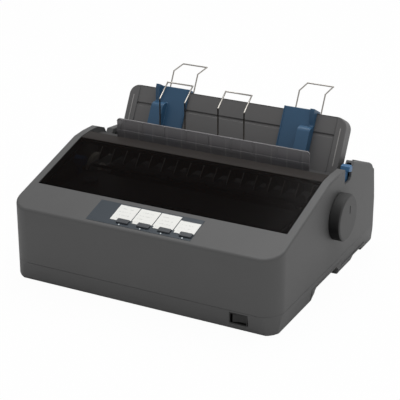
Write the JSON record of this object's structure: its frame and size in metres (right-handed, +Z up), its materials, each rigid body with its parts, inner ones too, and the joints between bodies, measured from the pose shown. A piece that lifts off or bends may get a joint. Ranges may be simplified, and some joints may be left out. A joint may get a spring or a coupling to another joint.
{
  "type": "dot matrix printer",
  "caption": "Desktop impact printer with a smoked front cover, upright paper guide with sliding edge guides, wire paper supports and a side platen knob.",
  "frame": {"origin": "centre of the case footprint, on the surface that the printer stands on", "axes": "+X to the right seen from the front (the knob's side), front towards -Y, +Z up"},
  "size_m": [0.362, 0.3182, 0.2033],
  "materials": {
    "case_grey": "fine textured injection moulding",
    "case_dark": "fine textured injection moulding",
    "smoke": "smoked clear moulding",
    "ledge": "smoked moulding",
    "clear_grey": "translucent grey moulding",
    "blue": "moulded blue",
    "navy": "moulded navy",
    "black": "moulded black",
    "rubber": "ground rubber",
    "steel": "drawn bright",
    "zinc": "zinc-plated sheet",
    "white": "acetal",
    "brass": "turned",
    "label": "printed film",
    "key": "moulded",
    "board": "circuit board",
    "aluminium": "die cast"
  },
  "bodies": {
    "base": {"lower_case": "case_dark", "upper_case": "case_grey", "feet": "rubber", "case_screws": "steel", "frame_pan": "zinc", "side_plate_left": "zinc", "side_plate_right": "zinc", "platen_bushings": "white", "paper_chute": "black", "motors": "zinc", "exit_guide": "black", "guide_rods": "steel", "drive_belt": "rubber", "ribbon_cartridge": "black", "main_board": "board", "sockets": "steel", "power_supply": "zinc", "inlet": "black", "guide_bearings": "black", "separator_bar": "black", "separator": "clear_grey", "label": "label", "panel_board": "board", "switch_bezel": "black"},
    "platen": {"platen_roller": "rubber", "platen_shaft": "steel", "platen_gear": "white", "knob": "case_grey"},
    "idler_front": {"idler_gear_front": "white"},
    "idler_rear": {"idler_gear_rear": "white"},
    "pinion": {"feed_pinion": "brass"},
    "bail_bar": {"bail": "steel"},
    "carriage": {"carriage": "black", "print_head": "aluminium"},
    "drive_wheel": {"drive_pulley": "brass"},
    "idler_wheel": {"idler_pulley": "white"},
    "ribbon_wheel": {"ribbon_knob": "key"},
    "tractor_drive": {"tractor_shaft": "steel"},
    "tractor_l": {"tractor_left": "key"},
    "tractor_l_cover": {"tractor_left_cover": "key"},
    "tractor_l_wheel": {"tractor_left_sprocket": "white"},
    "tractor_r": {"tractor_right": "key"},
    "tractor_r_cover": {"tractor_right_cover": "key"},
    "tractor_r_wheel": {"tractor_right_sprocket": "white"},
    "guide": {"paper_guide": "case_dark"},
    "edge_l": {"edge_guide_left": "blue"},
    "edge_r": {"edge_guide_right": "blue"},
    "rear_wire_l": {"rear_wire_left": "steel"},
    "rear_wire_r": {"rear_wire_right": "steel"},
    "front_wire_l": {"front_wire_left": "steel"},
    "front_wire_m": {"front_wire_mid": "steel"},
    "cover": {"cover_window": "smoke", "cover_ledge": "ledge"},
    "release": {"release_lever": "blue"},
    "thickness": {"gap_lever": "navy"},
    "key_1": {"button_1": "key"},
    "key_2": {"button_2": "key"},
    "key_3": {"button_3": "key"},
    "key_4": {"button_4": "key"},
    "switch": {"rocker": "black"}
  },
  "joints": [
    {"name": "platen_turn", "type": "hinge", "parent": "base", "child": "platen", "pos_m": [0, 0.021, 0.0845], "axis": [1, 0, 0], "continuous": true},
    {"name": "idler_front_turn", "type": "hinge", "parent": "base", "child": "idler_front", "pos_m": [-0.159, 0.0565, 0.0845], "axis": [1, 0, 0], "continuous": true},
    {"name": "idler_rear_turn", "type": "hinge", "parent": "base", "child": "idler_rear", "pos_m": [-0.159, 0.0875, 0.0845], "axis": [1, 0, 0], "continuous": true},
    {"name": "pinion_turn", "type": "hinge", "parent": "base", "child": "pinion", "pos_m": [-0.159, 0.03789, 0.06473], "axis": [1, 0, 0], "continuous": true},
    {"name": "bail_turn", "type": "hinge", "parent": "base", "child": "bail_bar", "pos_m": [0, 0.00396, 0.09643], "axis": [1, 0, 0], "continuous": true},
    {"name": "tractor_drive_turn", "type": "hinge", "parent": "base", "child": "tractor_drive", "pos_m": [0, 0.118, 0.0845], "axis": [1, 0, 0], "continuous": true},
    {"name": "carriage_travel", "type": "slide", "parent": "base", "child": "carriage", "axis": [1, 0, 0], "range_m": [0, 0.196]},
    {"name": "drive_wheel_turn", "type": "hinge", "parent": "base", "child": "drive_wheel", "pos_m": [-0.124, -0.056, 0.034], "axis": [0, 0, 1], "range_deg": [-1320, 0]},
    {"name": "idler_wheel_turn", "type": "hinge", "parent": "base", "child": "idler_wheel", "pos_m": [0.131, -0.056, 0.034], "axis": [0, 0, 1], "range_deg": [-1320, 0]},
    {"name": "ribbon_turn", "type": "hinge", "parent": "base", "child": "ribbon_wheel", "pos_m": [-0.118, -0.056, 0.1], "axis": [0, 0, 1], "continuous": true},
    {"name": "tractor_l_slide", "type": "slide", "parent": "base", "child": "tractor_l", "axis": [1, 0, 0], "range_m": [-0.03, 0.04]},
    {"name": "tractor_l_cover_swing", "type": "hinge", "parent": "tractor_l", "child": "tractor_l_cover", "pos_m": [-0.1154, 0.118, 0.0979], "axis": [0, -1, 0], "range_deg": [0, 95]},
    {"name": "tractor_l_wheel_turn", "type": "hinge", "parent": "tractor_l", "child": "tractor_l_wheel", "pos_m": [-0.105, 0.118, 0.0845], "axis": [1, 0, 0], "continuous": true},
    {"name": "tractor_r_slide", "type": "slide", "parent": "base", "child": "tractor_r", "axis": [1, 0, 0], "range_m": [-0.04, 0.03]},
    {"name": "tractor_r_cover_swing", "type": "hinge", "parent": "tractor_r", "child": "tractor_r_cover", "pos_m": [0.1154, 0.118, 0.0979], "axis": [0, 1, 0], "range_deg": [0, 95]},
    {"name": "tractor_r_wheel_turn", "type": "hinge", "parent": "tractor_r", "child": "tractor_r_wheel", "pos_m": [0.105, 0.118, 0.0845], "axis": [1, 0, 0], "continuous": true},
    {"name": "guide_tilt", "type": "hinge", "parent": "base", "child": "guide", "pos_m": [0, 0.08457, 0.10874], "axis": [1, 0, 0], "range_deg": [-40, 0]},
    {"name": "edge_l_slide", "type": "slide", "parent": "guide", "child": "edge_l", "axis": [1, 0, 0], "range_m": [-0.026, 0.055]},
    {"name": "edge_r_slide", "type": "slide", "parent": "guide", "child": "edge_r", "axis": [1, 0, 0], "range_m": [-0.055, 0.02]},
    {"name": "rear_wire_l_fold", "type": "hinge", "parent": "guide", "child": "rear_wire_l", "pos_m": [-0.091, 0.11867, 0.14837], "axis": [1, 0, 0], "range_deg": [-55, 0]},
    {"name": "rear_wire_r_fold", "type": "hinge", "parent": "guide", "child": "rear_wire_r", "pos_m": [0.0875, 0.11867, 0.14837], "axis": [1, 0, 0], "range_deg": [-55, 0]},
    {"name": "front_wire_l_lean", "type": "hinge", "parent": "base", "child": "front_wire_l", "pos_m": [-0.0548, 0.0365, 0.133], "axis": [1, 0, 0], "range_deg": [-20, 0]},
    {"name": "front_wire_m_lean", "type": "hinge", "parent": "base", "child": "front_wire_m", "pos_m": [0.0256, 0.0365, 0.133], "axis": [1, 0, 0], "range_deg": [-20, 0]},
    {"name": "cover_open", "type": "hinge", "parent": "base", "child": "cover", "pos_m": [0, 0.024, 0.12957], "axis": [-1, 0, 0], "range_deg": [0, 70]},
    {"name": "release_swing", "type": "hinge", "parent": "base", "child": "release", "pos_m": [0.168, 0.06, 0.088], "axis": [1, 0, 0], "range_deg": [0, 8]},
    {"name": "thickness_swing", "type": "hinge", "parent": "base", "child": "thickness", "pos_m": [-0.157, -0.014, 0.064], "axis": [-1, 0, 0], "range_deg": [0, 10]},
    {"name": "key_1_press", "type": "slide", "parent": "base", "child": "key_1", "axis": [0, 0.2672, -0.9636], "range_m": [0, 0.0012], "stiffness_N_per_m": 400, "springref_m": -0.0004},
    {"name": "key_2_press", "type": "slide", "parent": "base", "child": "key_2", "axis": [0, 0.2672, -0.9636], "range_m": [0, 0.0012], "stiffness_N_per_m": 400, "springref_m": -0.0004},
    {"name": "key_3_press", "type": "slide", "parent": "base", "child": "key_3", "axis": [0, 0.2672, -0.9636], "range_m": [0, 0.0012], "stiffness_N_per_m": 400, "springref_m": -0.0004},
    {"name": "key_4_press", "type": "slide", "parent": "base", "child": "key_4", "axis": [0, 0.2672, -0.9636], "range_m": [0, 0.0012], "stiffness_N_per_m": 400, "springref_m": -0.0004},
    {"name": "switch_rock", "type": "hinge", "parent": "base", "child": "switch", "pos_m": [0.1282, -0.142, 0.0163], "axis": [0, 0, 1], "range_deg": [-16, 0]}
  ],
  "couplings": [
    {"joint": "idler_front_turn", "follows": "platen_turn", "ratio": -1.2903},
    {"joint": "idler_rear_turn", "follows": "platen_turn", "ratio": 1.2903},
    {"joint": "tractor_drive_turn", "follows": "platen_turn", "ratio": -1.3333},
    {"joint": "pinion_turn", "follows": "platen_turn", "ratio": -3.3333},
    {"joint": "bail_turn", "follows": "platen_turn", "ratio": -4.125},
    {"joint": "tractor_l_wheel_turn", "follows": "platen_turn", "ratio": -1.3333},
    {"joint": "tractor_r_wheel_turn", "follows": "platen_turn", "ratio": -1.3333},
    {"joint": "drive_wheel_turn", "follows": "carriage_travel", "rad_per_m": -116.28},
    {"joint": "idler_wheel_turn", "follows": "carriage_travel", "rad_per_m": -116.28}
  ]
}
